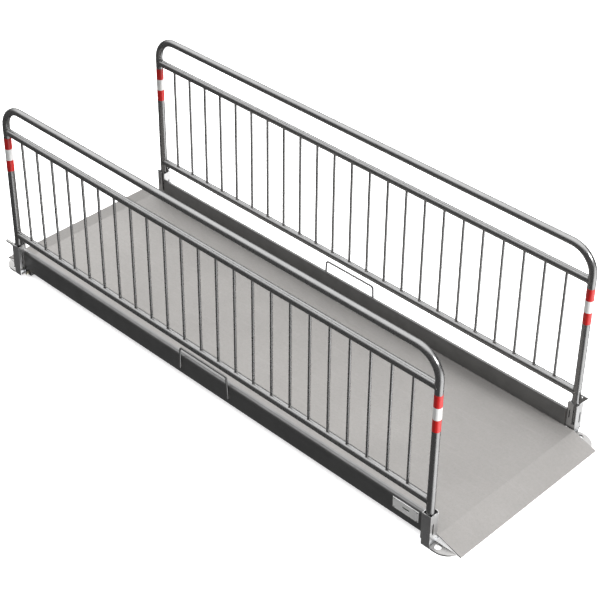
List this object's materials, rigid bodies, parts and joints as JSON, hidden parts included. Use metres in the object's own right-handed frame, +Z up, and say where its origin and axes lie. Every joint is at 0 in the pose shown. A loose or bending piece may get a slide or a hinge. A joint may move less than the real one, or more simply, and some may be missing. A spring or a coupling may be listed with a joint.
{
  "type": "walk-through animal scale",
  "caption": "Long low walk-through weighing platform with folded ramps at both ends, kerb beams, lift-out tube railings with upright rods, and load cells on levelling feet.",
  "frame": {"origin": "on the ground, at the middle of the footprint", "axes": "+X along the deck towards the end with the access cover, +Y across it towards the far railing, +Z up"},
  "size_m": [2.778, 0.946, 0.9179],
  "materials": {
    "deck_plate": "matt, finely blasted",
    "frame_steel": "dull galvanised",
    "beam_steel": "satin",
    "socket_zinc": "bright galvanised",
    "rail_tube": "satin galvanised",
    "bare_rod": "satin",
    "foot_plate_steel": "satin galvanised",
    "cell_steel": "fine ground",
    "zinc_fasteners": "zinc plated",
    "cover_plate": "fine blasted",
    "gland_brass": "nickel plated, satin",
    "red_tape": "glossy film",
    "white_tape": "glossy film",
    "black_plastic": "moulded",
    "pad_plastic": "moulded",
    "potting": "potted resin",
    "cable_jacket": "matt"
  },
  "bodies": {
    "platform": {"deck": "deck_plate", "cross_ribs": "frame_steel", "near_beam": "beam_steel", "far_beam": "beam_steel", "beam_end_caps": "beam_steel", "near_left_socket": "socket_zinc", "near_right_socket": "socket_zinc", "far_left_socket": "socket_zinc", "far_right_socket": "socket_zinc", "near_handle": "bare_rod", "far_handle": "bare_rod", "near_left_load_cell": "cell_steel", "near_right_load_cell": "cell_steel", "far_left_load_cell": "cell_steel", "far_right_load_cell": "cell_steel", "cell_mount_blocks": "frame_steel", "cell_bolts": "zinc_fasteners", "foot_lock_nuts": "zinc_fasteners", "access_cover": "cover_plate", "cover_screws": "zinc_fasteners", "junction_module": "potting", "cable_outlet": "black_plastic", "cable_gland": "gland_brass", "cell_cables": "cable_jacket", "clamp_nut": "zinc_fasteners"},
    "near_left_foot": {"near_left_foot_plate": "foot_plate_steel"},
    "near_left_screw": {"near_left_foot_screw": "zinc_fasteners"},
    "near_right_foot": {"near_right_foot_plate": "foot_plate_steel"},
    "near_right_screw": {"near_right_foot_screw": "zinc_fasteners"},
    "far_left_foot": {"far_left_foot_plate": "foot_plate_steel"},
    "far_left_screw": {"far_left_foot_screw": "zinc_fasteners"},
    "far_right_foot": {"far_right_foot_plate": "foot_plate_steel"},
    "far_right_screw": {"far_right_foot_screw": "zinc_fasteners"},
    "near_railing": {"near_hoop": "rail_tube", "near_mid_rail": "rail_tube", "near_lower_rail": "rail_tube", "near_balusters": "rail_tube", "near_red_bands": "red_tape", "near_white_bands": "white_tape", "near_gusset": "rail_tube", "near_post_plugs": "black_plastic"},
    "far_railing": {"far_hoop": "rail_tube", "far_mid_rail": "rail_tube", "far_lower_rail": "rail_tube", "far_balusters": "rail_tube", "far_red_bands": "red_tape", "far_white_bands": "white_tape", "far_gussets": "rail_tube", "far_post_plugs": "black_plastic"},
    "clamp_tip": {"clamp_pad": "pad_plastic"},
    "clamp": {"clamp_screw": "zinc_fasteners"}
  },
  "joints": [
    {"name": "near_left_foot_height", "type": "slide", "parent": "platform", "child": "near_left_foot", "axis": [0, 0, -1], "range_m": [0, 0.008]},
    {"name": "near_left_foot_turn", "type": "hinge", "parent": "near_left_foot", "child": "near_left_screw", "pos_m": [-1.25, -0.451, 0.02], "axis": [0, 0, -1], "range_deg": [0, 1440.5]},
    {"name": "near_right_foot_height", "type": "slide", "parent": "platform", "child": "near_right_foot", "axis": [0, 0, -1], "range_m": [0, 0.008]},
    {"name": "near_right_foot_turn", "type": "hinge", "parent": "near_right_foot", "child": "near_right_screw", "pos_m": [1.25, -0.451, 0.02], "axis": [0, 0, -1], "range_deg": [0, 1440.5]},
    {"name": "far_left_foot_height", "type": "slide", "parent": "platform", "child": "far_left_foot", "axis": [0, 0, -1], "range_m": [0, 0.008]},
    {"name": "far_left_foot_turn", "type": "hinge", "parent": "far_left_foot", "child": "far_left_screw", "pos_m": [-1.25, 0.451, 0.02], "axis": [0, 0, -1], "range_deg": [0, 1440.5]},
    {"name": "far_right_foot_height", "type": "slide", "parent": "platform", "child": "far_right_foot", "axis": [0, 0, -1], "range_m": [0, 0.008]},
    {"name": "far_right_foot_turn", "type": "hinge", "parent": "far_right_foot", "child": "far_right_screw", "pos_m": [1.25, 0.451, 0.02], "axis": [0, 0, -1], "range_deg": [0, 1440.5]},
    {"name": "near_railing_lift", "type": "slide", "parent": "platform", "child": "near_railing", "axis": [0, 0, 1], "range_m": [0, 0.12]},
    {"name": "far_railing_lift", "type": "slide", "parent": "platform", "child": "far_railing", "axis": [0, 0, 1], "range_m": [0, 0.12]},
    {"name": "clamp_travel", "type": "slide", "parent": "platform", "child": "clamp_tip", "axis": [-1, 0, 0], "range_m": [0, 0.012]},
    {"name": "clamp_turn", "type": "hinge", "parent": "clamp_tip", "child": "clamp", "pos_m": [-1.3, -0.451, 0.137], "axis": [-1, 0, 0], "range_deg": [0, 2469.07]}
  ],
  "couplings": [
    {"joint": "near_left_foot_turn", "follows": "near_left_foot_height", "rad_per_m": 3141.6},
    {"joint": "near_right_foot_turn", "follows": "near_right_foot_height", "rad_per_m": 3141.6},
    {"joint": "far_left_foot_turn", "follows": "far_left_foot_height", "rad_per_m": 3141.6},
    {"joint": "far_right_foot_turn", "follows": "far_right_foot_height", "rad_per_m": 3141.6},
    {"joint": "clamp_turn", "follows": "clamp_travel", "rad_per_m": 3590.4}
  ]
}
